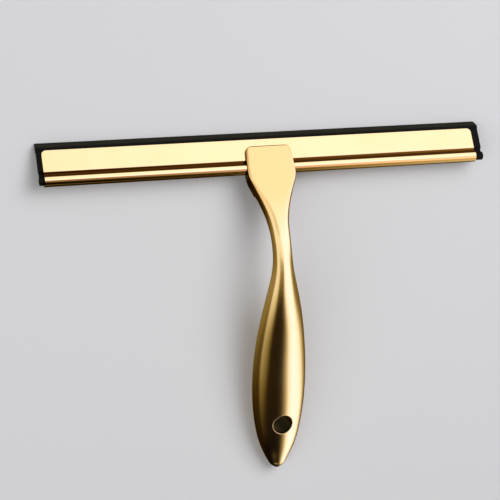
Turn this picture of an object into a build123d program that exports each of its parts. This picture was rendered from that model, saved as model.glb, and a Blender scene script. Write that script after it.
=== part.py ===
from build123d import *
import os
from math import atan2, cos, degrees, hypot, pi, sin, tan

# Window squeegee with a ten inch blade, lying on a flat surface with its face up.
# Row frame: +X along the blade, +Y from the grip towards the blade, +Z up, millimetres.
#
# Two inner coordinates describe every profile in the plane of symmetry:
#   along  distance from the channel's front edge towards the grip, in the plane of its flat face
#   level  height above the channel's flat face, along the face's normal

os.makedirs("parts", exist_ok=True)

# ---------------------------------------------------------------- driving dimensions
# channel: one folded sheet with a rolled bead along its rear edge
CHANNEL_LENGTH = 250.0
SHEET = 0.7
JAW_WIDTH = 11.9
JAW_DEPTH = 4.2
JAW_CORNER_R = 2.5
GROOVE_DROP = 1.1
GROOVE_START = 13.3
BEAD_R = 3.2
BEAD_ALONG = 16.3
MID_LEVEL = -JAW_DEPTH / 2

# rubber blade: the strip sits a little towards +X in the channel, as it was pushed in
RUBBER_LENGTH = 257.3
RUBBER_SHIFT = 1.2
RUBBER_GAP = 0.1
BODY_MARGIN = 0.6
WEB_THICKNESS = 0.4
BULB_R = 2.35
BODY_FRONT_GAP = 0.25
BODY_TOP = -0.3
BODY_BOTTOM = -4.4
BEVEL_START = -1.8
LIP_ALONG = -5.6
LIP_THICKNESS = 0.3

# head, neck and grip
HEAD_FRONT = 4.5
HEAD_TOP = 2.3
HEAD_BOTTOM = -5.4
HEAD_CORNER_R = 2.5
SEAT_REAR = 19.7
SEAM_ALONG = 60.0
SHELL_WALL = 1.2
SPIGOT_GAP = 0.08

# hanging hole
HOLE_ALONG = 146.2
HOLE_R = 5.5
TUBE_WALL = 0.5
TUBE_GAP = 0.03

# clamp behind the head
CLAMP_FRONT = 5.5
CLAMP_REAR = 31.0
CLAMP_THICKNESS = 2.4
CLAMP_FOOT_END = 12.2
CLAMP_FOOT_BEVEL = 0.6
CLAMP_TOE_LENGTH = 2.5
CLAMP_TOE_THICKNESS = 1.2
CLAMP_MARGIN = 1.2
CLAMP_GAP = 0.4
SCREW_ALONG = 25.5
SCREW_SPACING = 12.0
SCREW_R = 2.0
SCREW_DEPTH = 4.6
SCREW_SLACK = 0.02
SCREW_HOLE_R = 2.25
SCREW_HOLE_EXTRA = 0.4
SCREW_HEAD_R = 3.5
SCREW_HEAD_HEIGHT = 2.2
SCREW_RIM_R = 0.9
SLOT_WIDTH = 0.8
SLOT_DEPTH = 1.0
WASHER_R = 4.0
WASHER_THICKNESS = 0.8

# Cross-sections of the handle from the head to the tail:
# along, level of the centre, half width, half depth, squareness of the sides, squareness of the crown
MID_HEAD = (HEAD_TOP + HEAD_BOTTOM) / 2
HEAD_HALF = (HEAD_TOP - HEAD_BOTTOM) / 2
STATIONS = [
    (HEAD_FRONT, MID_HEAD, 12.8, HEAD_HALF, 30.0, 7.0),
    (12.0, MID_HEAD, 13.5, HEAD_HALF, 30.0, 7.0),
    (18.0, MID_HEAD, 13.9, HEAD_HALF, 28.0, 6.6),
    (22.0, MID_HEAD, 13.7, HEAD_HALF, 24.0, 6.0),
    (27.0, MID_HEAD, 12.1, HEAD_HALF, 16.0, 5.0),
    (33.0, MID_HEAD - 0.1, 9.8, HEAD_HALF + 0.1, 9.0, 4.0),
    (40.0, MID_HEAD - 0.2, 7.5, HEAD_HALF + 0.3, 5.5, 3.2),
    (49.0, MID_HEAD - 0.3, 5.7, HEAD_HALF + 0.5, 3.5, 2.7),
    (SEAM_ALONG, -2.6, 5.1, HEAD_HALF + 0.8, 2.6, 2.4),
    (72.0, -6.3, 5.7, 5.5, 2.3, 2.2),
    (84.0, -12.8, 8.5, 7.2, 2.2, 2.1),
    (96.0, -21.2, 11.5, 8.8, 2.1, 2.1),
    (109.0, -31.2, 13.9, 10.0, 2.1, 2.0),
    (124.0, -42.0, 15.1, 10.6, 2.1, 2.0),
    (138.0, -51.4, 14.6, 10.2, 2.1, 2.0),
    (150.0, -59.0, 12.7, 9.0, 2.1, 2.0),
    (160.0, -65.0, 9.4, 6.9, 2.1, 2.0),
    (167.0, -69.0, 5.6, 4.3, 2.0, 2.0),
    (169.7, -70.5, 3.3, 2.7, 2.0, 2.0),
    (171.0, -71.2, 1.2, 1.0, 2.0, 2.0),
]
SECTION_POINTS = 32


def tangent(index):
    """Direction of the handle's centre line at a station, as (along, level)."""
    before = STATIONS[max(index - 1, 0)]
    after = STATIONS[min(index + 1, len(STATIONS) - 1)]
    run = after[0] - before[0]
    rise = after[1] - before[1]
    length = hypot(run, rise)
    return run / length, rise / length


def underside(index):
    """Point of the handle's underside below a station, as (along, level)."""
    along, level, _, half_depth, _, _ = STATIONS[index]
    run, rise = tangent(index)
    return along + rise * half_depth, level - run * half_depth


SEAM = [station[0] for station in STATIONS].index(SEAM_ALONG)
SPIGOT = SEAM + 1
LAST = len(STATIONS) - 1
TAIL = STATIONS[LAST]

# The squeegee rests on the tip of its lip and on the belly of its grip.
BELLY_STEPS = 200
belly_line = Spline(*[underside(i) for i in range(SPIGOT, LAST + 1)])
belly_points = [belly_line @ (step / BELLY_STEPS) for step in range(BELLY_STEPS + 1)]
TILT = max(atan2(BODY_BOTTOM - p.Y, p.X - LIP_ALONG) for p in belly_points)

LIP_HEIGHT = LIP_ALONG * sin(TILT) + BODY_BOTTOM * cos(TILT)
FRONT_Y = -LIP_ALONG * cos(TILT) + BODY_BOTTOM * sin(TILT)
REAR_Y = -TAIL[0] * cos(TILT) + TAIL[1] * sin(TILT)
ORIGIN = Vector(0, -(FRONT_Y + REAR_Y) / 2, -LIP_HEIGHT)
TOWARDS_GRIP = Vector(0, -cos(TILT), sin(TILT))
OUTWARDS = Vector(0, sin(TILT), cos(TILT))

# SIDE: sketches of profiles, local x is along and local y is level.
# FACE: sketches in the flat face, local x is +X and local y is minus along.
SIDE = Plane(origin=ORIGIN, x_dir=TOWARDS_GRIP, z_dir=(-1, 0, 0))
FACE = Plane(origin=ORIGIN, x_dir=(1, 0, 0), z_dir=OUTWARDS)


def station_plane(index):
    along, level = STATIONS[index][:2]
    run, rise = tangent(index)
    return Plane(
        origin=SIDE.from_local_coords(Vector(along, level, 0)),
        x_dir=(1, 0, 0),
        z_dir=TOWARDS_GRIP * run + OUTWARDS * rise,
    )


def power(value, exponent):
    return (1 if value >= 0 else -1) * abs(value) ** exponent


def section_outline(index, inset):
    """Closed superellipse of a station, made smaller all round by inset."""
    _, _, half_width, half_depth, sides, crown = STATIONS[index]
    turns = [2 * pi * k / SECTION_POINTS - pi / 2 for k in range(SECTION_POINTS)]
    return [
        (
            (half_width - inset) * power(cos(turn), 2 / sides),
            (half_depth - inset) * power(sin(turn), 2 / crown),
        )
        for turn in turns
    ]


def loft_stations(first, last, inset=0.0):
    """Smooth solid through the stations first to last."""
    with BuildPart() as body:
        for index in range(first, last + 1):
            with BuildSketch(station_plane(index)):
                with BuildLine():
                    Spline(*section_outline(index, inset), periodic=True)
                make_face()
        loft()
    return body.part


BIG = 400.0
SCREW_PLACES = [(-SCREW_SPACING / 2, -SCREW_ALONG), (SCREW_SPACING / 2, -SCREW_ALONG)]


def side_block(points):
    """Prism across the whole width from a profile of (along, level) points."""
    with BuildPart() as block:
        with BuildSketch(SIDE):
            with BuildLine():
                Polyline(*points, close=True)
            make_face()
        extrude(amount=BIG / 2, both=True)
    return block.part


# ---------------------------------------------------------------- handle blank
# The polished outside of head, neck and grip is one continuous surface, so it is lofted once
# and the head casting, the grip shells and the hanging tube are all cut from it.
blank = loft_stations(0, LAST)
hollow = loft_stations(SEAM, LAST - 2, inset=SHELL_WALL)

seam_plane = station_plane(SEAM)
with BuildPart() as spigot:
    add(loft_stations(SEAM, LAST - 2, inset=SHELL_WALL + SPIGOT_GAP))
    split(bisect_by=station_plane(SPIGOT), keep=Keep.BOTTOM)

# Room for the channel, its bead and the clamp plate's foot below the head.
seat_cut = side_block([
    (-BIG, -BIG),
    (-BIG, 0),
    (SEAT_REAR, 0),
    (SEAT_REAR, HEAD_BOTTOM),
    (CLAMP_REAR + CLAMP_GAP, HEAD_BOTTOM),
    (CLAMP_REAR + CLAMP_GAP, -BIG),
])
with BuildPart() as bead_cut:
    with BuildSketch(SIDE):
        with Locations((BEAD_ALONG, MID_LEVEL)):
            Circle(BEAD_R)
    extrude(amount=CHANNEL_LENGTH, both=True)

hole_index = min(range(LAST), key=lambda k: abs(STATIONS[k][0] - HOLE_ALONG))
hole_run, hole_rise = tangent(hole_index)
base = STATIONS[hole_index]
HOLE_LEVEL = base[1] + (HOLE_ALONG - base[0]) * hole_rise / hole_run
HOLE_AXIS = OUTWARDS * hole_run - TOWARDS_GRIP * hole_rise
hole_plane = Plane(
    origin=SIDE.from_local_coords(Vector(HOLE_ALONG, HOLE_LEVEL, 0)),
    x_dir=(1, 0, 0),
    z_dir=HOLE_AXIS,
)

# ---------------------------------------------------------------- head casting
# Solid head and neck. Its flat seat lies on the channel, its foot stands behind the bead, and a
# spigot reaches into the hollow grip.
with BuildPart() as head_casting:
    add(blank)
    split(bisect_by=seam_plane, keep=Keep.BOTTOM)
    add(seat_cut, mode=Mode.SUBTRACT)
    add(bead_cut.part, mode=Mode.SUBTRACT)
    with BuildSketch(FACE.offset(-BIG / 4)):
        with Locations((0, -HEAD_FRONT - BIG / 2)):
            RectangleRounded(2 * STATIONS[0][2], BIG, HEAD_CORNER_R)
        with Locations((0, -HEAD_FRONT - HEAD_CORNER_R - BIG / 2)):
            Rectangle(BIG, BIG)
    extrude(amount=BIG / 2, mode=Mode.INTERSECT)
    add(spigot.part)
    with BuildSketch(FACE.offset(HEAD_BOTTOM)):
        with Locations(*SCREW_PLACES):
            Circle(SCREW_R)
    extrude(amount=SCREW_DEPTH + SCREW_HOLE_EXTRA, mode=Mode.SUBTRACT)

# ---------------------------------------------------------------- grip shells and hanging tube
# The shells part along the handle's centre line, which the parting face follows past the tail.
PARTING_EXTRA = 11.0
tail_run, tail_rise = tangent(LAST)
parting = [(along, level) for along, level, *_ in STATIONS[SEAM - 1:]]
parting.append((TAIL[0] + tail_run * PARTING_EXTRA, TAIL[1] + tail_rise * PARTING_EXTRA))
with BuildPart() as front_half:
    with BuildSketch(SIDE):
        with BuildLine():
            Spline(*parting)
            Polyline(parting[-1], (parting[-1][0], BIG / 4), (parting[0][0], BIG / 4), parting[0])
        make_face()
    extrude(amount=BIG / 4, both=True)

with BuildPart() as grip:
    add(blank)
    split(bisect_by=seam_plane, keep=Keep.TOP)
    add(hollow, mode=Mode.SUBTRACT)
    with BuildSketch(hole_plane):
        Circle(HOLE_R + TUBE_WALL + TUBE_GAP)
    extrude(amount=BIG / 4, both=True, mode=Mode.SUBTRACT)

with BuildPart() as grip_front_shell:
    add(grip.part)
    add(front_half.part, mode=Mode.INTERSECT)

with BuildPart() as grip_rear_shell:
    add(grip.part)
    add(front_half.part, mode=Mode.SUBTRACT)

with BuildPart() as hang_tube:
    with BuildSketch(hole_plane):
        Circle(HOLE_R + TUBE_WALL)
        Circle(HOLE_R, mode=Mode.SUBTRACT)
    extrude(amount=BIG / 4, both=True)
    add(blank, mode=Mode.INTERSECT)

# ---------------------------------------------------------------- channel
def mirrored(points):
    """Upper outline, then the same outline below the channel's middle level, as one loop."""
    lower = [(along, 2 * MID_LEVEL - level) for along, level in points]
    return points + lower[::-1]


# The sheet dips from the flat jaw into a groove, whose bottom runs into the bead. Inside the sheet
# both bends stand back by BEND_SHIFT, which keeps the sheet's thickness.
GROOVE_LEVEL = -GROOVE_DROP
BEND_SHIFT = SHEET * tan(atan2(GROOVE_DROP, GROOVE_START - JAW_WIDTH) / 2)
jaws = mirrored([(0, 0), (JAW_WIDTH, 0), (GROOVE_START, GROOVE_LEVEL), (BEAD_ALONG, GROOVE_LEVEL)])
slot = mirrored([
    (-SHEET, -SHEET),
    (JAW_WIDTH - BEND_SHIFT, -SHEET),
    (GROOVE_START - BEND_SHIFT, GROOVE_LEVEL - SHEET),
    (BEAD_ALONG, GROOVE_LEVEL - SHEET),
])

with BuildPart() as channel:
    with BuildSketch(SIDE):
        with BuildLine():
            Polyline(*jaws, close=True)
        make_face()
        with Locations((BEAD_ALONG, MID_LEVEL)):
            Circle(BEAD_R)
        with BuildLine():
            Polyline(*slot, close=True)
        make_face(mode=Mode.SUBTRACT)
        with Locations((BEAD_ALONG, MID_LEVEL)):
            Circle(BEAD_R - SHEET, mode=Mode.SUBTRACT)
    extrude(amount=CHANNEL_LENGTH / 2, both=True)
    jaw_corners = [
        edge
        for edge in channel.edges().filter_by(lambda e: abs(e.length - SHEET) < 0.01)
        if abs(SIDE.to_local_coords(edge.center()).X) < 0.01
    ]
    fillet(jaw_corners, JAW_CORNER_R)

# ---------------------------------------------------------------- rubber blade
half_slot = JAW_DEPTH / 2 - SHEET - RUBBER_GAP
half_web = WEB_THICKNESS / 2
rubber_profile = [
    (LIP_ALONG, BODY_BOTTOM),
    (LIP_ALONG, BODY_BOTTOM + LIP_THICKNESS),
    (BEVEL_START, BODY_TOP),
    (-BODY_FRONT_GAP, BODY_TOP),
    (-BODY_FRONT_GAP, MID_LEVEL + half_slot),
    (JAW_WIDTH - BODY_MARGIN, MID_LEVEL + half_slot),
    (GROOVE_START - BODY_MARGIN, MID_LEVEL + half_web),
    (BEAD_ALONG, MID_LEVEL + half_web),
    (BEAD_ALONG, MID_LEVEL - half_web),
    (GROOVE_START - BODY_MARGIN, MID_LEVEL - half_web),
    (JAW_WIDTH - BODY_MARGIN, MID_LEVEL - half_slot),
    (-BODY_FRONT_GAP, MID_LEVEL - half_slot),
    (-BODY_FRONT_GAP, BODY_BOTTOM),
]

with BuildPart() as rubber_blade:
    with BuildSketch(SIDE.offset(-RUBBER_SHIFT)):
        with BuildLine():
            Polyline(*rubber_profile, close=True)
        make_face()
        with Locations((BEAD_ALONG, MID_LEVEL)):
            Circle(BULB_R)
    extrude(amount=RUBBER_LENGTH / 2, both=True)

# ---------------------------------------------------------------- clamp plate, washers, screws
PLATE_BOTTOM = HEAD_BOTTOM - CLAMP_THICKNESS
clamp_profile = [
    (CLAMP_FRONT, -JAW_DEPTH),
    (CLAMP_FOOT_END - CLAMP_FOOT_BEVEL, -JAW_DEPTH),
    (CLAMP_FOOT_END, HEAD_BOTTOM),
    (CLAMP_REAR, HEAD_BOTTOM),
    (CLAMP_REAR, PLATE_BOTTOM),
    (CLAMP_FRONT + CLAMP_TOE_LENGTH, PLATE_BOTTOM),
    (CLAMP_FRONT, -JAW_DEPTH - CLAMP_TOE_THICKNESS),
]

# The plate's outline follows the head's outline, a little inside it.
plate_stations = [s for s in STATIONS if s[0] <= CLAMP_REAR + CLAMP_THICKNESS]
plate_edge = [(s[2] - CLAMP_MARGIN, -s[0]) for s in plate_stations]
plate_outline = plate_edge + [(-x, y) for x, y in plate_edge[::-1]]

with BuildPart() as clamp_plate:
    add(side_block(clamp_profile))
    with BuildSketch(FACE.offset(-BIG / 4)):
        with BuildLine():
            Polyline(*plate_outline, close=True)
        make_face()
    extrude(amount=BIG / 2, mode=Mode.INTERSECT)
    with BuildSketch(FACE.offset(-BIG / 4)):
        with Locations(*SCREW_PLACES):
            Circle(SCREW_HOLE_R)
    extrude(amount=BIG / 2, mode=Mode.SUBTRACT)

WASHER_BOTTOM = PLATE_BOTTOM - WASHER_THICKNESS
with BuildPart() as clamp_washers:
    with BuildSketch(FACE.offset(WASHER_BOTTOM)):
        with Locations(*SCREW_PLACES):
            Circle(WASHER_R)
            Circle(SCREW_HOLE_R, mode=Mode.SUBTRACT)
    extrude(amount=WASHER_THICKNESS)

HEAD_FACE = WASHER_BOTTOM - SCREW_HEAD_HEIGHT
SHANK_LENGTH = HEAD_BOTTOM + SCREW_DEPTH - WASHER_BOTTOM
with BuildPart() as clamp_screws:
    with BuildSketch(FACE.offset(WASHER_BOTTOM)):
        with Locations(*SCREW_PLACES):
            Circle(SCREW_R - SCREW_SLACK)
    extrude(amount=SHANK_LENGTH)
    with BuildSketch(FACE.offset(HEAD_FACE)):
        with Locations(*SCREW_PLACES):
            Circle(SCREW_HEAD_R)
    extrude(amount=SCREW_HEAD_HEIGHT)
    fillet(clamp_screws.faces().group_by(Axis(ORIGIN, OUTWARDS))[0].edges(), SCREW_RIM_R)
    with BuildSketch(FACE.offset(HEAD_FACE)):
        with Locations(*SCREW_PLACES):
            Rectangle(2 * SCREW_HEAD_R, SLOT_WIDTH)
    extrude(amount=SLOT_DEPTH, mode=Mode.SUBTRACT)

# ---------------------------------------------------------------- files
PIECES = {
    "head_casting": head_casting,
    "grip_front_shell": grip_front_shell,
    "grip_rear_shell": grip_rear_shell,
    "hang_tube": hang_tube,
    "channel": channel,
    "rubber_blade": rubber_blade,
    "clamp_plate": clamp_plate,
    "clamp_washers": clamp_washers,
    "clamp_screws": clamp_screws,
}
for name, piece in PIECES.items():
    piece.part.label = name
    export_step(piece.part, f"parts/{name}.step")

hole_origin = hole_plane.origin
print("resting tilt", round(degrees(TILT), 3), "degrees")
print("hanging hole at", [round(v, 2) for v in hole_origin], "axis", [round(v, 4) for v in HOLE_AXIS])
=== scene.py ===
from functools import partial
from math import atan2, cos, hypot, pi, radians, sin

import bmesh
import bpy
import numpy as np
from mathutils import Matrix, Vector


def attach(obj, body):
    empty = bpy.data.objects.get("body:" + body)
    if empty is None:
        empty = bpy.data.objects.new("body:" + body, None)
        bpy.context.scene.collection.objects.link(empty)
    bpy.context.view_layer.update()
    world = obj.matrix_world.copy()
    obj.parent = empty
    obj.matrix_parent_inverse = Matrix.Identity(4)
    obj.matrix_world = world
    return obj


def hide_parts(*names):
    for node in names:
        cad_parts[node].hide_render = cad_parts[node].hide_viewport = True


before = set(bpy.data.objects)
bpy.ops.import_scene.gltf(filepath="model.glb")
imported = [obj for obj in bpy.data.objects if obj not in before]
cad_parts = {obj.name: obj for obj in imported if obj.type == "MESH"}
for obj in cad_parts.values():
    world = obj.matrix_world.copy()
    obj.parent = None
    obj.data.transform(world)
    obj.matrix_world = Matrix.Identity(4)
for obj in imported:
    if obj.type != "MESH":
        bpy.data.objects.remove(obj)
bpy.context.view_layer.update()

# Looks of the window squeegee. Lengths below are millimetres in two inner coordinates:
#   along  distance from the channel's front edge towards the grip, in the plane of its flat face
#   level  height above that flat face, along its normal
# place() turns (x, along, level) into the frame's metres.
MM = 0.001

# ---------------------------------------------------------------- sizes shared with the CAD parts
CHANNEL_HALF = 125.0
SHEET = 0.7
JAW_WIDTH = 11.9
JAW_DEPTH = 4.2
JAW_CORNER_R = 2.5
GROOVE_DROP = 1.1
GROOVE_START = 13.3
BEAD_R = 3.2
BEAD_ALONG = 16.3
MID_LEVEL = -JAW_DEPTH / 2
RUBBER_HALF = 128.65
RUBBER_SHIFT = 1.2
RUBBER_GAP = 0.1
BODY_MARGIN = 0.6
WEB_THICKNESS = 0.4
BULB_R = 2.35
BODY_FRONT_GAP = 0.25
BODY_TOP = -0.3
BODY_BOTTOM = -4.4
BEVEL_START = -1.8
LIP_ALONG = -5.6
LIP_THICKNESS = 0.3
HEAD_FRONT = 4.5
HEAD_TOP = 2.3
HEAD_BOTTOM = -5.4
HEAD_CORNER_R = 2.5
SEAT_REAR = 19.7
SEAM_ALONG = 60.0
HOLE_ALONG = 146.2
HOLE_R = 5.5
TUBE_WALL = 0.5

MID_HEAD = (HEAD_TOP + HEAD_BOTTOM) / 2
HEAD_HALF = (HEAD_TOP - HEAD_BOTTOM) / 2
# along, level of the centre, half width, half depth, squareness of the sides and of the crown
STATIONS = [
    (HEAD_FRONT, MID_HEAD, 12.8, HEAD_HALF, 30.0, 7.0),
    (12.0, MID_HEAD, 13.5, HEAD_HALF, 30.0, 7.0),
    (18.0, MID_HEAD, 13.9, HEAD_HALF, 28.0, 6.6),
    (22.0, MID_HEAD, 13.7, HEAD_HALF, 24.0, 6.0),
    (27.0, MID_HEAD, 12.1, HEAD_HALF, 16.0, 5.0),
    (33.0, MID_HEAD - 0.1, 9.8, HEAD_HALF + 0.1, 9.0, 4.0),
    (40.0, MID_HEAD - 0.2, 7.5, HEAD_HALF + 0.3, 5.5, 3.2),
    (49.0, MID_HEAD - 0.3, 5.7, HEAD_HALF + 0.5, 3.5, 2.7),
    (SEAM_ALONG, -2.6, 5.1, HEAD_HALF + 0.8, 2.6, 2.4),
    (72.0, -6.3, 5.7, 5.5, 2.3, 2.2),
    (84.0, -12.8, 8.5, 7.2, 2.2, 2.1),
    (96.0, -21.2, 11.5, 8.8, 2.1, 2.1),
    (109.0, -31.2, 13.9, 10.0, 2.1, 2.0),
    (124.0, -42.0, 15.1, 10.6, 2.1, 2.0),
    (138.0, -51.4, 14.6, 10.2, 2.1, 2.0),
    (150.0, -59.0, 12.7, 9.0, 2.1, 2.0),
    (160.0, -65.0, 9.4, 6.9, 2.1, 2.0),
    (167.0, -69.0, 5.6, 4.3, 2.0, 2.0),
    (169.7, -70.5, 3.3, 2.7, 2.0, 2.0),
    (171.0, -71.2, 1.2, 1.0, 2.0, 2.0),
]

# ---------------------------------------------------------------- smooth values along the handle
class Spline:
    """Natural cubic spline through one column of values."""

    def __init__(self, knots, values):
        self.knots = np.array(knots, float)
        self.values = np.array(values, float)
        gaps = np.diff(self.knots)
        slopes = np.diff(self.values) / gaps
        count = len(knots)
        matrix = np.eye(count)
        right = np.zeros(count)
        for k in range(1, count - 1):
            matrix[k, k - 1:k + 2] = gaps[k - 1], 2 * (gaps[k - 1] + gaps[k]), gaps[k]
            right[k] = 6 * (slopes[k] - slopes[k - 1])
        self.bend = np.linalg.solve(matrix, right)

    def __call__(self, t):
        k = int(np.clip(np.searchsorted(self.knots, t) - 1, 0, len(self.knots) - 2))
        gap = self.knots[k + 1] - self.knots[k]
        left = (self.knots[k + 1] - t) / gap
        right = 1 - left
        curve = (left ** 3 - left) * self.bend[k] + (right ** 3 - right) * self.bend[k + 1]
        return float(left * self.values[k] + right * self.values[k + 1] + curve * gap * gap / 6)


def run_lengths():
    lengths = [0.0]
    for before, after in zip(STATIONS, STATIONS[1:]):
        lengths.append(lengths[-1] + hypot(after[0] - before[0], after[1] - before[1]))
    return lengths


RUNS = run_lengths()
ALONG, LEVEL, WIDTH, DEPTH, SIDES, CROWN = (
    Spline(RUNS, [station[column] for station in STATIONS]) for column in range(6)
)
SEAM = RUNS[[station[0] for station in STATIONS].index(SEAM_ALONG)]
TAIL = RUNS[-1]


HEADING_STEP = 0.05


def heading(t):
    """Direction of the handle's centre line at a run length, as (along, level)."""
    low = max(t - HEADING_STEP, 0.0)
    high = min(t + HEADING_STEP, TAIL)
    run = ALONG(high) - ALONG(low)
    rise = LEVEL(high) - LEVEL(low)
    length = hypot(run, rise)
    return run / length, rise / length


# ---------------------------------------------------------------- frame placement
def belly_angle(t):
    """Angle at which a point of the underside and the lip's tip lie level."""
    run, rise = heading(t)
    along = ALONG(t) + rise * DEPTH(t)
    level = LEVEL(t) - run * DEPTH(t)
    return atan2(BODY_BOTTOM - level, along - LIP_ALONG)


# The squeegee rests on the tip of its lip and on the belly of its grip.
BELLY_SAMPLES = 400
TILT = max(belly_angle(SEAM + (TAIL - SEAM) * k / BELLY_SAMPLES) for k in range(BELLY_SAMPLES + 1))
LIP_HEIGHT = LIP_ALONG * sin(TILT) + BODY_BOTTOM * cos(TILT)
FRONT_Y = -LIP_ALONG * cos(TILT) + BODY_BOTTOM * sin(TILT)
REAR_Y = -STATIONS[-1][0] * cos(TILT) + STATIONS[-1][1] * sin(TILT)
ORIGIN = Vector((0, -(FRONT_Y + REAR_Y) / 2 * MM, -LIP_HEIGHT * MM))
TOWARDS_GRIP = Vector((0, -cos(TILT), sin(TILT)))
OUTWARDS = Vector((0, sin(TILT), cos(TILT)))


def place(x, along, level):
    return ORIGIN + Vector((x * MM, 0, 0)) + TOWARDS_GRIP * (along * MM) + OUTWARDS * (level * MM)


def handle_axes(t):
    """Unit vectors along the handle's centre line and upwards from it, at a run length."""
    run, rise = heading(t)
    return TOWARDS_GRIP * run + OUTWARDS * rise, OUTWARDS * run - TOWARDS_GRIP * rise


# ---------------------------------------------------------------- camera
CAMERA_AT = Vector((-0.27071, 0.13007, 0.78894))
CAMERA_LOOKS = Vector((0.3122, -0.1205, -0.9423)).normalized()
CAMERA_UP = Vector((0.0725, 0.9920, -0.1028))
LENS = 108.0
SENSOR = 36.0


def make_camera():
    right = CAMERA_LOOKS.cross(CAMERA_UP).normalized()
    up = right.cross(CAMERA_LOOKS)
    turn = Matrix((right, up, -CAMERA_LOOKS)).transposed()
    data = bpy.data.cameras.new("camera")
    data.lens = LENS
    data.sensor_width = SENSOR
    data.clip_start = 0.01
    camera = bpy.data.objects.new("camera", data)
    camera.matrix_world = Matrix.Translation(CAMERA_AT) @ turn.to_4x4()
    bpy.context.scene.collection.objects.link(camera)
    bpy.context.scene.camera = camera


# ---------------------------------------------------------------- mesh helpers
def new_piece(name, vertices, faces, normals=None):
    """Mesh object from world positions. normals maps a face index to its corner normals."""
    mesh = bpy.data.meshes.new(name)
    mesh.from_pydata([tuple(v) for v in vertices], [], faces)
    mesh.validate()
    mesh.update()
    piece = bpy.data.objects.new(name, mesh)
    bpy.context.scene.collection.objects.link(piece)
    mesh.shade_smooth()
    if normals is not None:
        corner_normals = []
        for polygon in mesh.polygons:
            given = normals[polygon.index]
            if given is None:
                given = [polygon.normal] * polygon.loop_total
            corner_normals.extend(given)
        mesh.normals_split_custom_set([tuple(n) for n in corner_normals])
    return piece


def sharpen(piece, angle=35.0):
    piece.data.shade_smooth()
    piece.data.set_sharp_from_angle(angle=radians(angle))


def bevel(piece, width, angle):
    modifier = piece.modifiers.new("edge rounding", "BEVEL")
    modifier.width = width * MM
    modifier.segments = 3
    modifier.limit_method = "ANGLE"
    modifier.angle_limit = radians(angle)
    modifier.harden_normals = True
    modifier.miter_outer = "MITER_ARC"


WELD_DISTANCE = 1e-6


def rework(piece, weld=False, triangulate=False):
    """Turn all faces outwards, after welding doubles or triangulating large faces if asked."""
    work = bmesh.new()
    work.from_mesh(piece.data)
    if weld:
        bmesh.ops.remove_doubles(work, verts=work.verts, dist=WELD_DISTANCE)
    if triangulate:
        bmesh.ops.triangulate(work, faces=[f for f in work.faces if len(f.verts) > 4])
    bmesh.ops.recalc_face_normals(work, faces=work.faces)
    work.to_mesh(piece.data)
    work.free()


def ring_faces(rows, around_count, looped=False, base=0):
    """Quads between rings of vertices; looped joins the last ring to the first one."""
    faces = []
    for row in range(rows if looped else rows - 1):
        here = base + row * around_count
        below = base + (row + 1) % rows * around_count
        for k in range(around_count):
            after = (k + 1) % around_count
            faces.append((here + k, here + after, below + after, below + k))
    return faces


def bar_faces(count):
    """Two end caps and the sides of a bar whose ends have count vertices each."""
    faces = [tuple(range(count)), tuple(range(2 * count - 1, count - 1, -1))]
    for k in range(count):
        after = (k + 1) % count
        faces.append((k, k + count, after + count, after))
    return faces


def finish_piece(piece, body, slot, material, *nodes):
    piece.data.materials.append(material)
    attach(piece, body)
    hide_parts(*nodes)


# ---------------------------------------------------------------- handle surface
FRONT_EDGE_R = 0.5
CROWN_EASING = 0.32
NORMAL_STEP = 0.01


def quarter(distance, radius):
    """How far a rounded corner stands back at a distance from its end face."""
    if distance >= radius:
        return 0.0
    return radius - (radius ** 2 - (radius - max(distance, 0.0)) ** 2) ** 0.5


def section(t):
    """Half width, half depth and squareness of the sides at a run length."""
    half_width = WIDTH(t) - quarter(t, HEAD_CORNER_R)
    half_depth = DEPTH(t) - quarter(t, FRONT_EDGE_R)
    return half_width, half_depth, SIDES(t)


def smooth(low, high, value):
    share = min(max((value - low) / (high - low), 0.0), 1.0)
    return share * share * (3 - 2 * share)


def crown_at(t, height):
    """Squareness of the crown. Above the centre line the neck's edges are rounder."""
    if height <= 0:
        return CROWN(t)
    along = ALONG(t)
    eased = smooth(19.0, 29.0, along) * (1 - smooth(44.0, 58.0, along))
    return CROWN(t) * (1 - CROWN_EASING * eased)


def inside_out(t, x, height):
    """Value that is 1 on the handle's surface, for a point at x and height over the centre."""
    half_width, half_depth, sides = section(t)
    crown = crown_at(t, height)
    return abs(x / half_width) ** sides + abs(height / half_depth) ** crown


def surface_normal(t, x, height):
    half_width, half_depth, sides = section(t)
    crown = crown_at(t, height)
    wide = sides * abs(x / half_width) ** (sides - 1) / half_width * (1 if x >= 0 else -1)
    tall = crown * abs(height / half_depth) ** (crown - 1) / half_depth * (1 if height >= 0 else -1)
    low = max(t - NORMAL_STEP, 0.0)
    high = min(t + NORMAL_STEP, TAIL)
    fore = (inside_out(high, x, height) - inside_out(low, x, height)) / (high - low)
    forward, upward = handle_axes(t)
    return (Vector((wide, 0, 0)) + upward * tall + forward * fore).normalized()


def handle_point(t, x, height):
    run, rise = heading(t)
    return place(x, ALONG(t) - rise * height, LEVEL(t) + run * height)


def height_at(t, x):
    """Height of the surface over the centre line, at a distance x to the side."""
    half_width, half_depth, sides = section(t)
    return half_depth * (1 - abs(x / half_width) ** sides) ** (1 / crown_at(t, 1))


def signed_power(value, exponent):
    return (1 if value >= 0 else -1) * abs(value) ** exponent


def around(t, turn):
    """x and height of the surface at a run length and a turn angle."""
    half_width, half_depth, sides = section(t)
    crown = crown_at(t, sin(turn))
    return (
        half_width * signed_power(cos(turn), 2 / sides),
        half_depth * signed_power(sin(turn), 2 / crown),
    )


# ---------------------------------------------------------------- head casting
AROUND = 128
NO_FLOOR = -100.0
FRONT_RINGS = [0.0, 0.02, 0.06, 0.12, 0.2, 0.3, 0.42, 0.56, 0.7, 1.0, 1.4, 1.9, 2.5, 3.3, 4.2,
               5.2, 6.4, 7.6, 8.6]
STEP_GAP = 0.001
MIDDLE_SPACING = 0.9
REAR_RINGS = 34


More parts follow.
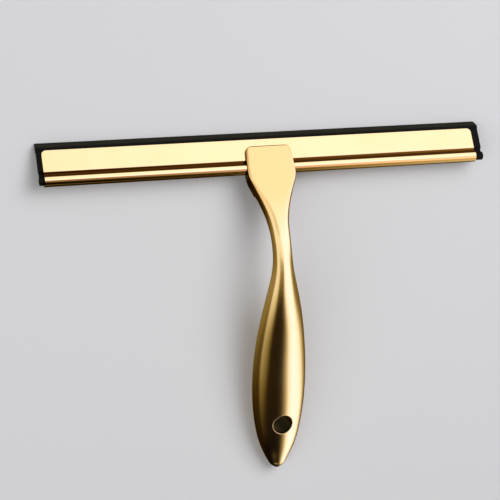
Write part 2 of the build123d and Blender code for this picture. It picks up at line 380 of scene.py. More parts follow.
def head_floor(along):
    """Lowest level of the head at a place: over the channel, over the bead, or on the clamp."""
    if along >= CLAMP_REAR:
        return NO_FLOOR
    if along > SEAT_REAR:
        return HEAD_BOTTOM
    reach = BEAD_R ** 2 - (along - BEAD_ALONG) ** 2
    bead_top = MID_LEVEL + reach ** 0.5 if reach > 0 else NO_FLOOR
    return max(0.0, bead_top)


def head_runs():
    """Run lengths of the head's rings: close together where it bends, doubled at its steps."""
    bead_angles = [radians(angle) for angle in range(-54, 55, 6)]
    bead = [BEAD_ALONG - HEAD_FRONT + BEAD_R * sin(angle) for angle in bead_angles]
    step = SEAT_REAR - HEAD_FRONT
    foot = CLAMP_REAR - HEAD_FRONT
    steps = [step - STEP_GAP, step + STEP_GAP, foot - STEP_GAP, foot + STEP_GAP]
    middle_count = int((foot - step) / MIDDLE_SPACING)
    middle = [step + MIDDLE_SPACING * k for k in range(1, middle_count)]
    rear = [foot + (SEAM - foot) * k / REAR_RINGS for k in range(1, REAR_RINGS + 1)]
    return sorted(FRONT_RINGS + bead + steps + middle + rear)


def make_head():
    turns = [2 * pi * k / AROUND for k in range(AROUND)]
    vertices = []
    normals_at = []
    pressed = []
    for t in head_runs():
        for turn in turns:
            x, height = around(t, turn)
            lowest = head_floor(ALONG(t)) - LEVEL(t)
            on_floor = height < lowest
            height = max(height, lowest)
            vertices.append(handle_point(t, x, height))
            normals_at.append(surface_normal(t, x, height))
            pressed.append(on_floor)
    rows = len(vertices) // AROUND
    faces = ring_faces(rows, AROUND)
    faces.append(tuple(range(AROUND))[::-1])
    faces.append(tuple((rows - 1) * AROUND + k for k in range(AROUND)))
    normals = []
    for face in faces:
        flat = all(pressed[v] for v in face) or len(face) > 4
        normals.append(None if flat else [normals_at[v] for v in face])
    return new_piece("head_casting_look", vertices, faces, normals)


# ---------------------------------------------------------------- grip shells
SHELL_WALL = 1.2
HALF_TURNS = 64
ALONG_GRIP = 132
HOLE_RINGS = 7
HOLE_PATCH = 9.6
TAIL_LENGTH = 0.9
TAIL_RINGS = 6
MOST_WALL = 0.45
TUBE_OUTER = HOLE_R + TUBE_WALL


def hole_run():
    """Run length of the hanging hole's centre."""
    low, high = SEAM, TAIL
    for _ in range(60):
        middle = (low + high) / 2
        if ALONG(middle) < HOLE_ALONG:
            low = middle
        else:
            high = middle
    return low


HOLE_T = hole_run()


def make_half_grip(name, side):
    """One pressed half of the grip: side is 1 for the front half and -1 for the rear half."""
    turns = [pi * k / HALF_TURNS for k in range(HALF_TURNS + 1)]
    tail_end = [TAIL - TAIL_LENGTH * (1 - k / TAIL_RINGS) ** 2 for k in range(TAIL_RINGS + 1)]
    even = [SEAM + (TAIL - TAIL_LENGTH - SEAM) * k / ALONG_GRIP for k in range(ALONG_GRIP)]
    runs = even + tail_end
    columns = HALF_TURNS + 1
    spots = []
    for t in runs:
        for turn in turns:
            x, height = around(t, turn)
            spots.append((t, x, side * abs(height)))
    step = (TAIL - TAIL_LENGTH - SEAM) / ALONG_GRIP
    first_row = int((HOLE_T - HOLE_PATCH - SEAM) / step)
    last_row = int((HOLE_T + HOLE_PATCH - SEAM) / step) + 1
    first_column = next(k for k in range(columns) if abs(around(HOLE_T, turns[k])[0]) < HOLE_PATCH)
    last_column = HALF_TURNS - first_column
    faces = []
    for row in range(len(runs) - 1):
        for k in range(HALF_TURNS):
            if first_row <= row < last_row and first_column <= k < last_column:
                continue
            corner, below = row * columns + k, (row + 1) * columns + k
            faces.append((corner, corner + 1, below + 1, below))
    border = [(first_row, k) for k in range(first_column, last_column)]
    border += [(row, last_column) for row in range(first_row, last_row)]
    border += [(last_row, k) for k in range(last_column, first_column, -1)]
    border += [(row, first_column) for row in range(last_row, first_row, -1)]
    edge_ring = [row * columns + k for row, k in border]
    ring = edge_ring
    for layer in range(1, HOLE_RINGS + 1):
        share = layer / HOLE_RINGS
        start = len(spots)
        for vertex in edge_ring:
            t, x, _ = spots[vertex]
            angle = atan2(x, t - HOLE_T)
            t += (HOLE_T + TUBE_OUTER * cos(angle) - t) * share
            x += (TUBE_OUTER * sin(angle) - x) * share
            spots.append((t, x, side * height_at(t, x)))
        new_ring = list(range(start, start + len(border)))
        for k in range(len(border)):
            after = (k + 1) % len(border)
            faces.append((ring[k], ring[after], new_ring[after], new_ring[k]))
        ring = new_ring
    outer = [handle_point(*spot) for spot in spots]
    outer_normals = [surface_normal(*spot) for spot in spots]
    inner = []
    for spot, point, normal in zip(spots, outer, outer_normals):
        wall = min(SHELL_WALL, MOST_WALL * section(spot[0])[1])
        inner.append(point - normal * (wall * MM))
    edge_uses = {}
    for face in faces:
        for a, b in zip(face, face[1:] + face[:1]):
            edge_uses[(a, b)] = edge_uses.get((a, b), 0) + 1
    count = len(outer)
    if side < 0:
        faces = [face[::-1] for face in faces]
        edge_uses = {(b, a): uses for (a, b), uses in edge_uses.items()}
    rim = [(a, b) for a, b in edge_uses if (b, a) not in edge_uses]
    all_faces = list(faces)
    all_normals = [[outer_normals[v] for v in face] for face in faces]
    for face in faces:
        all_faces.append(tuple(v + count for v in face[::-1]))
        all_normals.append([-outer_normals[v] for v in face[::-1]])
    for a, b in rim:
        all_faces.append((b, a, a + count, b + count))
        all_normals.append(None)
    return new_piece(name, outer + inner, all_faces, all_normals)


TUBE_SEGMENTS = 96
LIP_LIFT = 0.08
# radius and lift over the grip's surface, from the outer wall over the lip and down the bore
TUBE_MOUTH = (
    (TUBE_OUTER, -0.6),
    (TUBE_OUTER, 0.0),
    (TUBE_OUTER - 0.03, LIP_LIFT * 0.6),
    (TUBE_OUTER - 0.1, LIP_LIFT * 0.95),
    (TUBE_OUTER - 0.2, LIP_LIFT),
    (TUBE_OUTER - 0.33, LIP_LIFT * 0.6),
    (HOLE_R + 0.07, -0.04),
    (HOLE_R + 0.02, -0.12),
    (HOLE_R, -0.22),
    (HOLE_R, -0.8),
)


def make_tube():
    """Liner of the hanging hole. Its two lips are rolled a little over the grip's surface."""
    forward, upward = handle_axes(HOLE_T)
    rings = []
    for side in (1, -1):
        mouth = []
        for radius, lift in TUBE_MOUTH:
            ring = []
            for k in range(TUBE_SEGMENTS):
                angle = 2 * pi * k / TUBE_SEGMENTS
                t = HOLE_T + TUBE_OUTER * cos(angle)
                x = TUBE_OUTER * sin(angle)
                straight = radius / TUBE_OUTER
                foot = handle_point(HOLE_T, x * straight, 0.0)
                surface = handle_point(t, x, side * (height_at(t, x) + lift))
                rise_to = (surface - foot).dot(upward)
                ring.append(foot + forward * ((t - HOLE_T) * straight * MM) + upward * rise_to)
            mouth.append(ring)
        rings.append(mouth if side > 0 else mouth[::-1])
    loops = rings[0] + rings[1]
    vertices = [point for ring in loops for point in ring]
    faces = ring_faces(len(loops), TUBE_SEGMENTS, looped=True)
    piece = new_piece("hang_tube_look", vertices, faces)
    sharpen(piece, 50.0)
    return piece


# ---------------------------------------------------------------- folded channel
BEND_R = 0.5
FOLD_R = 0.4
CORNER_STEPS = 8
BEAD_STEPS = 40


def arc(centre_point, radius, start, stop, count):
    return [
        (centre_point[0] + radius * cos(start + (stop - start) * k / count),
         centre_point[1] + radius * sin(start + (stop - start) * k / count))
        for k in range(count + 1)
    ]


def round_corner(before, corner, after, radius):
    """Points of the arc that rounds a corner of a polyline."""
    first = Vector(before) - Vector(corner)
    second = Vector(after) - Vector(corner)
    first.normalize()
    second.normalize()
    half = first.angle(second) / 2
    middle = Vector(corner) + (first + second).normalized() * (radius / sin(half))
    start = Vector(corner) + first * (radius / np.tan(half)) - middle
    stop = Vector(corner) + second * (radius / np.tan(half)) - middle
    start_angle = atan2(start.y, start.x)
    turn = (atan2(stop.y, stop.x) - start_angle + pi) % (2 * pi) - pi
    return arc(middle, radius, start_angle, start_angle + turn, CORNER_STEPS)


def channel_midline():
    """Middle line of the folded sheet, from the upper jaw's edge round the bead to the lower jaw's.
    A sloping wall drops from the flat jaw to the valley, where a fold turns it into the bead."""
    half_sheet = SHEET / 2
    top = -half_sheet
    wall = Vector((GROOVE_START - JAW_WIDTH, -GROOVE_DROP)).normalized()
    outward = Vector((-wall.y, wall.x))
    bend = Vector((JAW_WIDTH, top))
    bead_at = Vector((BEAD_ALONG, MID_LEVEL))
    bead_mid = BEAD_R - half_sheet
    reach = bend + outward * FOLD_R - bead_at
    half_b = reach.dot(wall)
    slack = half_b ** 2 - reach.length_squared + (bead_mid + FOLD_R) ** 2
    fold_at = bend + outward * FOLD_R + wall * (-half_b - slack ** 0.5)
    to_wall = atan2(-outward.y, -outward.x)
    to_bead = atan2(bead_at.y - fold_at.y, bead_at.x - fold_at.x)
    away = atan2(fold_at.y - bead_at.y, fold_at.x - bead_at.x)
    half = [(0.0, top)] + [(0.25 * k, top) for k in range(1, 13)] + [(6.0, top), (10.0, top)]
    half += round_corner((0.0, top), tuple(bend), tuple(bend + wall), BEND_R)
    half += arc(fold_at, FOLD_R, to_wall, to_bead, CORNER_STEPS)
    half += arc(bead_at, bead_mid, away, 0.0, BEAD_STEPS)[1:]
    return half + [(along, 2 * MID_LEVEL - level) for along, level in half[::-1][1:]]


def thicken(path, thickness):
    """Closed outline on both sides of an open path."""
    points = np.array(path)
    tangents = np.gradient(points, axis=0)
    tangents /= np.linalg.norm(tangents, axis=1)[:, None]
    sideways = np.stack([-tangents[:, 1], tangents[:, 0]], axis=1) * thickness / 2
    left = [tuple(p) for p in points + sideways]
    right = [tuple(p) for p in points - sideways]
    return left + right[::-1]


def extrude_profile(name, outline, half_length, corner_radius=0.0, shift=0.0):
    """Straight bar along X from a closed outline of (along, level) points, its middle at shift.
    corner_radius rounds the bar's front corners in plan."""
    vertices = []
    for end in (-1, 1):
        for along, level in outline:
            reach = half_length - quarter(along, corner_radius)
            vertices.append(place(shift + end * reach, along, level))
    piece = new_piece(name, vertices, bar_faces(len(outline)))
    rework(piece)
    sharpen(piece)
    return piece


def make_channel():
    outline = thicken(channel_midline(), SHEET)
    piece = extrude_profile("channel_look", outline, CHANNEL_HALF, JAW_CORNER_R)
    bevel(piece, 0.12, 50.0)
    return piece


# ---------------------------------------------------------------- rubber blade
def rubber_outline():
    half_slot = JAW_DEPTH / 2 - SHEET - RUBBER_GAP
    half_web = WEB_THICKNESS / 2
    neck = BEAD_ALONG - (BULB_R ** 2 - half_web ** 2) ** 0.5
    start = atan2(half_web, neck - BEAD_ALONG)
    front = [
        (-BODY_FRONT_GAP, MID_LEVEL - half_slot),
        (-BODY_FRONT_GAP, BODY_BOTTOM),
        (LIP_ALONG, BODY_BOTTOM),
        (LIP_ALONG, BODY_BOTTOM + LIP_THICKNESS),
        (BEVEL_START, BODY_TOP),
        (-BODY_FRONT_GAP, BODY_TOP),
        (-BODY_FRONT_GAP, MID_LEVEL + half_slot),
        (JAW_WIDTH - BODY_MARGIN, MID_LEVEL + half_slot),
        (GROOVE_START - BODY_MARGIN, MID_LEVEL + half_web),
    ]
    bulb = arc((BEAD_ALONG, MID_LEVEL), BULB_R, start, -start, BEAD_STEPS)
    rear = [
        (GROOVE_START - BODY_MARGIN, MID_LEVEL - half_web),
        (JAW_WIDTH - BODY_MARGIN, MID_LEVEL - half_slot),
    ]
    return front + bulb + rear


def make_rubber():
    piece = extrude_profile("rubber_blade_look", rubber_outline(), RUBBER_HALF, shift=RUBBER_SHIFT)
    bevel(piece, 0.14, 30.0)
    return piece


# ---------------------------------------------------------------- clamp plate, washers and screws
CLAMP_FRONT = 5.5
CLAMP_REAR = 31.4
CLAMP_END = 31.0
CLAMP_THICKNESS = 2.4
CLAMP_FOOT_END = 12.2
CLAMP_MARGIN = 1.2
SCREW_ALONG = 25.5
SCREW_SPACING = 12.0
SCREW_HEAD_R = 3.5
SCREW_HEAD_HEIGHT = 2.2
SLOT_WIDTH = 0.8
SLOT_DEPTH = 1.0
WASHER_R = 4.0
WASHER_THICKNESS = 0.8
PLATE_BOTTOM = HEAD_BOTTOM - CLAMP_THICKNESS
CLAMP_STEP = 0.6
CLAMP_CHAMFER_ALONG = 2.5
CLAMP_CHAMFER_LEVEL = 1.2
WIDTH_STATIONS = [15.0, 18.0, 22.0, 25.0, 28.0]


def make_clamp_plate():
    profile = [
        (CLAMP_FRONT, -JAW_DEPTH),
        (CLAMP_FOOT_END - CLAMP_STEP, -JAW_DEPTH),
        (CLAMP_FOOT_END, HEAD_BOTTOM),
        *((along, HEAD_BOTTOM) for along in WIDTH_STATIONS),
        (CLAMP_END, HEAD_BOTTOM),
        (CLAMP_END, PLATE_BOTTOM),
        *((along, PLATE_BOTTOM) for along in WIDTH_STATIONS[::-1]),
        (CLAMP_FRONT + CLAMP_CHAMFER_ALONG, PLATE_BOTTOM),
        (CLAMP_FRONT, -JAW_DEPTH - CLAMP_CHAMFER_LEVEL),
    ]
    vertices = []
    for end in (-1, 1):
        for along, level in profile:
            reach = WIDTH(along - HEAD_FRONT) - CLAMP_MARGIN
            vertices.append(place(end * reach, along, level))
    piece = new_piece("clamp_plate_look", vertices, bar_faces(len(profile)))
    rework(piece, triangulate=True)
    sharpen(piece)
    bevel(piece, 0.25, 30.0)
    return piece


SCREW_PLACES = ((-SCREW_SPACING / 2, SCREW_ALONG), (SCREW_SPACING / 2, SCREW_ALONG))
LATHE_SEGMENTS = 64
WASHER_BORE_R = 2.25
WASHER_EDGE = 0.1
WASHER_LOWER_EDGE = 0.15
SHANK_R = 1.98
SHANK_DEPTH = 4.0
SCREW_RIM_R = 0.9
SCREW_EDGE = 0.12
CROWN_RISE = 0.08


def lathe(name, profile):
    """Piece with a profile of (radius, level) turned about each screw's axis."""
    vertices = []
    faces = []
    for x, along in SCREW_PLACES:
        base = len(vertices)
        for radius, level in profile:
            for k in range(LATHE_SEGMENTS):
                angle = 2 * pi * k / LATHE_SEGMENTS
                vertices.append(place(x + radius * cos(angle), along + radius * sin(angle), level))
        faces += ring_faces(len(profile), LATHE_SEGMENTS, looped=True, base=base)
    piece = new_piece(name, vertices, faces)
    rework(piece, weld=True)
    return piece


def make_washers():
    top = PLATE_BOTTOM
    bottom = PLATE_BOTTOM - WASHER_THICKNESS
    piece = lathe("clamp_washers_look", [
        (WASHER_BORE_R, top),
        (WASHER_R - WASHER_EDGE, top),
        (WASHER_R, top - WASHER_EDGE),
        (WASHER_R, bottom + WASHER_LOWER_EDGE),
        (WASHER_R - WASHER_LOWER_EDGE, bottom),
        (WASHER_BORE_R, bottom),
    ])
    sharpen(piece)
    return piece


def make_screws():
    """Pan heads with a rounded rim and a straight slot."""
    seat = PLATE_BOTTOM - WASHER_THICKNESS
    face = seat - SCREW_HEAD_HEIGHT
    rim = SCREW_RIM_R
    profile = [
        (0.0, HEAD_BOTTOM + SHANK_DEPTH),
        (SHANK_R, HEAD_BOTTOM + SHANK_DEPTH),
        (SHANK_R, seat),
        (SCREW_HEAD_R - SCREW_EDGE, seat),
        (SCREW_HEAD_R, seat - SCREW_EDGE),
    ]
    profile += [(SCREW_HEAD_R - rim + rim * cos(turn), face + rim - rim * sin(turn))
                for turn in (pi / 2 * k / 6 for k in range(7))]
    profile += [(1.2, face - 0.06), (0.0, face - CROWN_RISE)]
    piece = lathe("clamp_screws_look", profile)
    corners = []
    for x, along in SCREW_PLACES:
        for sx in (-1, 1):
            for sy in (-1, 1):
                for level in (face - 2.0, face + SLOT_DEPTH):
                    side = x + sx * SCREW_HEAD_R * 1.2
                    corners.append(place(side, along + sy * SLOT_WIDTH / 2, level))
    block = [(0, 1, 3, 2), (4, 6, 7, 5), (0, 4, 5, 1), (2, 3, 7, 6), (0, 2, 6, 4), (1, 5, 7, 3)]
    blocks = [tuple(v + 8 * k for v in f) for k in range(len(SCREW_PLACES)) for f in block]
    cutter = new_piece("slot_cutter", corners, blocks)
    rework(cutter, weld=True)
    cut = piece.modifiers.new("slots", "BOOLEAN")
    cut.operation = "DIFFERENCE"
    cut.solver = "EXACT"
    cut.object = cutter
    bpy.context.view_layer.update()
    evaluated = piece.evaluated_get(bpy.context.evaluated_depsgraph_get())
    mesh = bpy.data.meshes.new_from_object(evaluated)
    piece.modifiers.clear()
    piece.data = mesh
    bpy.data.objects.remove(cutter)
    sharpen(piece)
    return piece


# ---------------------------------------------------------------- materials
def link(tree, source, output, target, inlet):
    tree.links.new(source.outputs[output], target.inputs[inlet])


def ranged(tree, value, low, high, start, stop, interpolation="LINEAR"):
    """Shader value that goes from start to stop while another goes from low to high."""
    node = tree.nodes.new("ShaderNodeMapRange")
    node.interpolation_type = interpolation
    numbers = {"From Min": low, "From Max": high, "To Min": start, "To Max": stop}
    for inlet, number in numbers.items():
        node.inputs[inlet].default_value = number
    tree.links.new(value, node.inputs["Value"])
    return node.outputs["Result"]


def stepped(tree, value, low, high, start=0.0, stop=1.0):
    """Like ranged, with a smooth start and end."""
    return ranged(tree, value, low, high, start, stop, "SMOOTHSTEP")


def combined(tree, operation, first, *others):
    """Shader values joined one after the other by a math operation."""
    for other in others:
        node = tree.nodes.new("ShaderNodeMath")
        node.operation = operation
        tree.links.new(first, node.inputs[0])
        tree.links.new(other, node.inputs[1])
        first = node.outputs["Value"]
    return first


def dotted(tree, vector, axis):
    """How far a shader vector reaches along an axis."""
    node = tree.nodes.new("ShaderNodeVectorMath")
    node.operation = "DOT_PRODUCT"
    tree.links.new(vector, node.inputs[0])
    node.inputs[1].default_value = axis
    return node.outputs["Value"]


def noise(tree, vector, scale, detail):
    node = tree.nodes.new("ShaderNodeTexNoise")
    node.inputs["Scale"].default_value = scale
    node.inputs["Detail"].default_value = detail
    tree.links.new(vector, node.inputs["Vector"])
    return node


def colour_ramp(tree, value, stops):
    """Colour that follows a shader value through stops of (position, colour)."""
    node = tree.nodes.new("ShaderNodeValToRGB")
    elements = node.color_ramp.elements
    while len(elements) < len(stops):
        elements.new(0.5)
    for element, (position, colour) in zip(elements, stops):
        element.position = position
        element.color = (*colour, 1)
    tree.links.new(value, node.inputs["Fac"])
    return node.outputs["Color"]


def relief(tree, height, strength, distance):
    """Surface relief on the tree's shader."""
    node = tree.nodes.new("ShaderNodeBump")
    node.inputs["Strength"].default_value = strength
    node.inputs["Distance"].default_value = distance
    tree.links.new(height, node.inputs["Height"])
    link(tree, node, "Normal", tree.nodes["Principled BSDF"], "Normal")


def inner_coordinates(tree):
    """Shader values for x in metres and for the inner along and level in millimetres."""
    place_node = tree.nodes.new("ShaderNodeTexCoord")
    offset = tree.nodes.new("ShaderNodeVectorMath")
    offset.operation = "SUBTRACT"
    tree.links.new(place_node.outputs["Object"], offset.inputs[0])
    offset.inputs[1].default_value = ORIGIN
    axes = (Vector((1, 0, 0)), TOWARDS_GRIP / MM, OUTWARDS / MM)
    return [dotted(tree, offset.outputs["Vector"], axis) for axis in axes]


def overlay_colour(tree, amount, colour):
    """Lay a colour over the base colour, for painted shade and reflection and for the neck's paler
    tint.
    colour is a fixed colour or a shader value.
    """
    shader = tree.nodes["Principled BSDF"]
    mix = tree.nodes.new("ShaderNodeMix")
    mix.data_type = "RGBA"
    tree.links.new(amount, mix.inputs["Factor"])
    tree.links.new(shader.inputs["Base Color"].links[0].from_socket, mix.inputs[6])
    if isinstance(colour, tuple):
        mix.inputs[7].default_value = (*colour, 1)
    else:
        tree.links.new(colour, mix.inputs[7])
    tree.links.new(mix.outputs[2], shader.inputs["Base Color"])


def paint_channel_reflection(material):
    """Painted dark reflection in the channel's hollow between flat jaw and bead, and a painted
    brown reflection along the bead's lower side that fades towards +X. It stands for the dark scene
    that the real channel mirrors in the photo."""
    tree = material.node_tree
    x, along, _ = inner_coordinates(tree)
    # painted dark reflection in the hollow between the flat jaw and the bead
    groove_dark_reflection = combined(
        tree,
        "MULTIPLY",
        stepped(tree, along, JAW_WIDTH - 0.15, JAW_WIDTH + 0.2),
        stepped(tree, along, BEAD_ALONG - 1.35, BEAD_ALONG - 0.95, 1.0, 0.0),
    )
    overlay_colour(tree, groove_dark_reflection, (0.15, 0.065, 0.008))
    # painted reflection along the bead's lower side: dark brown at -X, turning gold at +X
    underside = combined(
        tree,
        "MULTIPLY",
        stepped(tree, along, BEAD_ALONG + 0.6, BEAD_ALONG + 1.0, 0.0, 0.95),
        stepped(tree, along, BEAD_ALONG + 2.1, BEAD_ALONG + 3.0, 1.0, 0.45),
    )
    reflection_tone = tree.nodes.new("ShaderNodeMix")
    reflection_tone.data_type = "RGBA"
    tree.links.new(stepped(tree, x, -0.10, 0.13), reflection_tone.inputs["Factor"])
    reflection_tone.inputs[6].default_value = (0.20, 0.095, 0.014, 1)
    reflection_tone.inputs[7].default_value = (0.82, 0.47, 0.17, 1)
    overlay_colour(tree, underside, reflection_tone.outputs[2])


def paint_head_shade_and_neck_tint(material):
    """Painted shade as dark lines where the head's sides meet the channel and along its front edge;
    the neck pales towards the satin grip."""
    tree = material.node_tree
    _, along, level = inner_coordinates(tree)
    # painted shade along the foot of the head's sides, over the channel
    foot = combined(
        tree,
        "MULTIPLY",
        stepped(tree, level, HEAD_TOP - 0.75, HEAD_TOP - 0.25, 0.93, 0.0),
        stepped(tree, along, SEAT_REAR + 1.0, SEAT_REAR + 12.0, 1.0, 0.0),
    )
    overlay_colour(tree, foot, (0.035, 0.016, 0.004))
    # painted shade along the head's rounded front edge
    edge = stepped(tree, along, HEAD_FRONT + 0.35, HEAD_FRONT + 0.75, 0.92, 0.0)
    overlay_colour(tree, edge, (0.03, 0.014, 0.004))
    overlay_colour(tree, stepped(tree, along, 30.0, 54.0), (0.98, 0.73, 0.43))


def paint_bore_shade(material):
    """Painted shade: nearly black wall inside the hanging tube; its two lips stay bright."""
    tree = material.node_tree
    facing = tree.nodes.new("ShaderNodeNewGeometry")
    _, upward = handle_axes(HOLE_T)
    size = tree.nodes.new("ShaderNodeMath")
    size.operation = "ABSOLUTE"
    tree.links.new(dotted(tree, facing.outputs["Normal"], upward), size.inputs[0])
    # painted shade on the tube's inner wall
    overlay_colour(tree, stepped(tree, size.outputs["Value"], 0.7, 0.97, 1.0, 0.0), (0.008, 0.004, 0.002))


def paint_rubber_body_shade(material):
    """Painted shade: the body is darker than the ground bevel of the lip."""
    tree = material.node_tree
    _, along, _ = inner_coordinates(tree)
    # painted shade on the rubber's body behind the lip's bevel
    body = stepped(tree, along, BEVEL_START - 0.3, BEVEL_START + 0.2, 0.0, 0.9)
    overlay_colour(tree, body, (0.0012, 0.0008, 0.0006))


def new_material(name):
    """Material with its node tree, its shader and the coordinates of the object."""
    material = bpy.data.materials.new(name)
    material.use_nodes = True
    tree = material.node_tree
    coordinates = tree.nodes.new("ShaderNodeTexCoord").outputs["Object"]
    return material, tree, tree.nodes["Principled BSDF"], coordinates


def metal(name, base, light, roughness, spread, stretch, bump, grain_scale):
    """Metal with fine drawn grain and soft smudges, which turn its colour from base to light.
    stretch squeezes the grain across the drawing direction."""
    material, tree, shader, coordinates = new_material(name)
    shader.inputs["Metallic"].default_value = 1.0
    grain_map = tree.nodes.new("ShaderNodeMapping")
    grain_map.inputs["Scale"].default_value = stretch
    tree.links.new(coordinates, grain_map.inputs["Vector"])
    grain = noise(tree, grain_map.outputs["Vector"], grain_scale, 4.0)
    smudge = noise(tree, coordinates, 38.0, 5.0)
    smudge.inputs["Roughness"].default_value = 0.62
    mix = tree.nodes.new("ShaderNodeMath")
    mix.operation = "MULTIPLY_ADD"
    mix.inputs[1].default_value = 0.35
    link(tree, grain, "Fac", mix, 0)
    link(tree, smudge, "Fac", mix, 2)
    rough = ranged(tree, mix.outputs["Value"], 0.35, 0.95, roughness - spread, roughness + spread)
    tree.links.new(rough, shader.inputs["Roughness"])
    colour = colour_ramp(tree, smudge.outputs["Fac"], ((0.35, base), (0.75, light)))
    tree.links.new(colour, shader.inputs["Base Color"])
    relief(tree, grain.outputs["Fac"], bump, 0.00002)
    return material


def rubber():
    material, tree, shader, coordinates = new_material("blade_rubber")
    shader.inputs["Specular IOR Level"].default_value = 0.1
    speckle = noise(tree, coordinates, 2600.0, 3.0).outputs["Fac"]
    bloom = noise(tree, coordinates, 55.0, 6.0).outputs["Fac"]
    stops = ((0.35, (0.012, 0.012, 0.0105)), (0.8, (0.020, 0.020, 0.018)))
    tree.links.new(colour_ramp(tree, bloom, stops), shader.inputs["Base Color"])
    tree.links.new(ranged(tree, bloom, 0.0, 1.0, 0.42, 0.62), shader.inputs["Roughness"])
    relief(tree, speckle, 0.25, 0.00003)
    return material


def matt_paint(name, colour):
    material = bpy.data.materials.new(name)
    material.use_nodes = True
    shader = material.node_tree.nodes["Principled BSDF"]
    shader.inputs["Base Color"].default_value = colour
    shader.inputs["Roughness"].default_value = 0.9
    shader.inputs["Specular IOR Level"].default_value = 0.2
    return material


# ---------------------------------------------------------------- studio
def softbox(name, location, aim, size, power):
    """Soft lamp for the floor and the rubber. The metal mirrors the world's lit walls instead."""
    data = bpy.data.lights.new(name, "AREA")
    data.shape = "RECTANGLE"
    data.size, data.size_y = size
    data.energy = power
    lamp = bpy.data.objects.new(name, data)
    direction = Vector(aim) - Vector(location)
    turn = direction.to_track_quat("-Z", "Y").to_matrix().to_4x4()
    lamp.matrix_world = Matrix.Translation(location) @ turn
    lamp.visible_camera = False
    lamp.visible_glossy = False
    bpy.context.scene.collection.objects.link(lamp)


FLOOR_HALF = 3.0
# Colours of the walls from unlit to fully lit, at half strength.
WALL_COLOURS = (
    (0.0, (0.001, 0.0003, 0.0)),
    (0.1, (0.018, 0.010, 0.0006)),
    (0.3, (0.115, 0.090, 0.026)),
    (0.6, (0.38, 0.36, 0.24)),
    (0.8, (0.62, 0.63, 0.60)),
    (1.0, (0.78, 0.69, 0.86)),
)


def lit_walls(tree):
    """What the metal mirrors, as soft lights by direction: a wide one over the blade's side, a tall
    one to the right behind the grip, a low warm one to the left, and dark between them."""
    step = partial(stepped, tree)
    joined = partial(combined, tree)
    direction = tree.nodes.new("ShaderNodeTexCoord").outputs["Generated"]
    right, front, up = (dotted(tree, direction, axis) for axis in ((1, 0, 0), (0, 1, 0), (0, 0, 1)))
    edge = joined("ADD", right, step(front, -0.7, 0.0, -0.40, 0.05))
    corner = joined("MULTIPLY", step(right, 0.6, 1.0, 0.0, 0.65), step(front, -0.65, -0.15))
    tall = joined(
        "MULTIPLY",
        step(edge, -0.25, 0.30),
        step(up, -0.9, 0.1),
        step(corner, 0.0, 1.0, 1.0, 0.0),
        step(front, 0.1, 0.4, 1.0, 0.0),
    )
    wide = joined(
        "MULTIPLY",
        step(front, -0.06, 0.16),
        step(front, 0.43, 0.62, 0.98, 0.8),
        step(up, 0.0, 0.08),
        step(right, -0.1, 0.3, 0.72, 1.0),
    )
    low = joined(
        "MULTIPLY",
        step(right, -0.8, -0.4, 0.70, 0.0),
        step(front, -0.85, 0.1),
        step(up, -0.1, 0.15, 0.3, 1.0),
    )
    unlit = joined(
        "ADD",
        step(front, -0.85, -0.5, 0.0, 0.045),
        step(front, -0.4, 0.1, 0.0, 0.3),
    )
    ground = joined("MULTIPLY", step(up, -0.15, 0.3, 0.09, 0.0), step(right, -0.1, 0.25))
    behind = joined(
        "MULTIPLY",
        step(front, -0.98, -0.93, 0.4, 0.0),
        step(up, 0.0, 0.12),
        step(up, 0.3, 0.5, 1.0, 0.0),
    )
    light = joined("MAXIMUM", tall, wide, low, unlit, ground, behind)
    background = tree.nodes.new("ShaderNodeBackground")
    background.inputs["Strength"].default_value = 2.0
    tree.links.new(colour_ramp(tree, light, WALL_COLOURS), background.inputs["Color"])
    return background


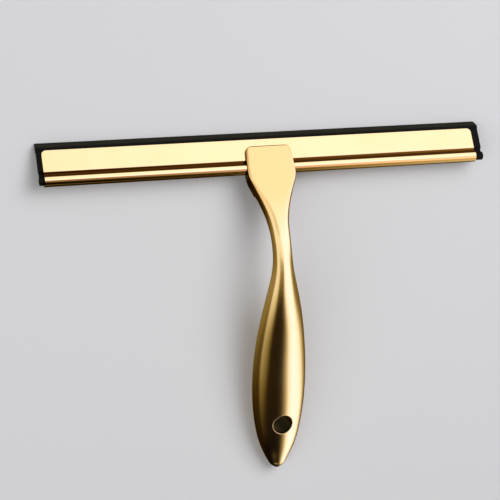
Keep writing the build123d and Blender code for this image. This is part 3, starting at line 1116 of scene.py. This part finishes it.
def make_studio():
    signs = ((-1, -1), (1, -1), (1, 1), (-1, 1))
    corners = [(x * FLOOR_HALF, y * FLOOR_HALF, 0.0) for x, y in signs]
    floor = new_piece("floor", corners, [(0, 1, 2, 3)])
    floor.data.materials.append(matt_paint("floor_paint", (0.72, 0.72, 0.73, 1)))
    floor.visible_glossy = False
    softbox("key", (0.5, 0.5, 1.1), (0.0, 0.0, 0.0), (1.0, 1.0), 11)
    softbox("fill", (-0.9, -0.2, 0.8), (0.0, 0.0, 0.0), (0.8, 1.0), 4)
    world = bpy.data.worlds.new("studio")
    world.use_nodes = True
    tree = world.node_tree
    ambient = tree.nodes["Background"]
    ambient.inputs["Color"].default_value = (0.30, 0.30, 0.31, 1)
    seen = tree.nodes.new("ShaderNodeBackground")
    seen.inputs["Color"].default_value = (0.62, 0.62, 0.63, 1)
    path = tree.nodes.new("ShaderNodeLightPath")
    glossy_mix = tree.nodes.new("ShaderNodeMixShader")
    link(tree, path, "Is Glossy Ray", glossy_mix, 0)
    link(tree, ambient, "Background", glossy_mix, 1)
    link(tree, lit_walls(tree), "Background", glossy_mix, 2)
    camera_mix = tree.nodes.new("ShaderNodeMixShader")
    link(tree, path, "Is Camera Ray", camera_mix, 0)
    link(tree, glossy_mix, "Shader", camera_mix, 1)
    link(tree, seen, "Background", camera_mix, 2)
    link(tree, camera_mix, "Shader", tree.nodes["World Output"], "Surface")
    bpy.context.scene.world = world
    bpy.context.scene.view_settings.view_transform = "Standard"


# ---------------------------------------------------------------- assembly
make_camera()
make_studio()
head_colours = (0.95, 0.63, 0.30), (0.98, 0.67, 0.34)
polished = metal("polished_gold", *head_colours, 0.15, 0.03, (1, 1, 1), 0.05, 900.0)
# painted shade at the head's seat and front edge; paler tint on the neck
paint_head_shade_and_neck_tint(polished)
# this material carries painted shade inside the hanging tube
bore = metal("bore_gold_painted_shade", *head_colours, 0.25, 0.03, (1, 1, 1), 0.05, 900.0)
paint_bore_shade(bore)
rolled_colours = (1.0, 0.75, 0.44), (1.0, 0.79, 0.49)
rolled = metal("rolled_gold", *rolled_colours, 0.13, 0.03, (0.03, 1, 1), 0.06, 1500.0)
# painted dark reflection in the channel's hollow and along the bead's lower side
paint_channel_reflection(rolled)
satin_colours = (0.98, 0.71, 0.40), (1.0, 0.75, 0.45)
satin = metal("satin_gold", *satin_colours, 0.19, 0.03, (1, 0.05, 1), 0.08, 2200.0)
steel_colours = (0.6, 0.6, 0.58), (0.75, 0.75, 0.73)
steel = metal("screw_steel", *steel_colours, 0.3, 0.06, (1, 1, 1), 0.15, 1500.0)
black = rubber()
# painted shade on the rubber's body
paint_rubber_body_shade(black)

finish_piece(make_head(), "handle", "polished_head", polished, "head_casting")
grip_front = make_half_grip("grip_front_look", 1)
finish_piece(grip_front, "handle", "satin_grip", satin, "grip_front_shell")
grip_rear = make_half_grip("grip_rear_look", -1)
finish_piece(grip_rear, "handle", "satin_grip", satin, "grip_rear_shell")
finish_piece(make_tube(), "handle", "polished_head", bore, "hang_tube")
finish_piece(make_channel(), "handle", "channel_sheet", rolled, "channel")
finish_piece(make_rubber(), "blade", "blade_rubber", black, "rubber_blade")
finish_piece(make_clamp_plate(), "handle", "polished_head", polished, "clamp_plate")
finish_piece(make_washers(), "handle", "screw_steel", steel, "clamp_washers")
finish_piece(make_screws(), "handle", "screw_steel", steel, "clamp_screws")
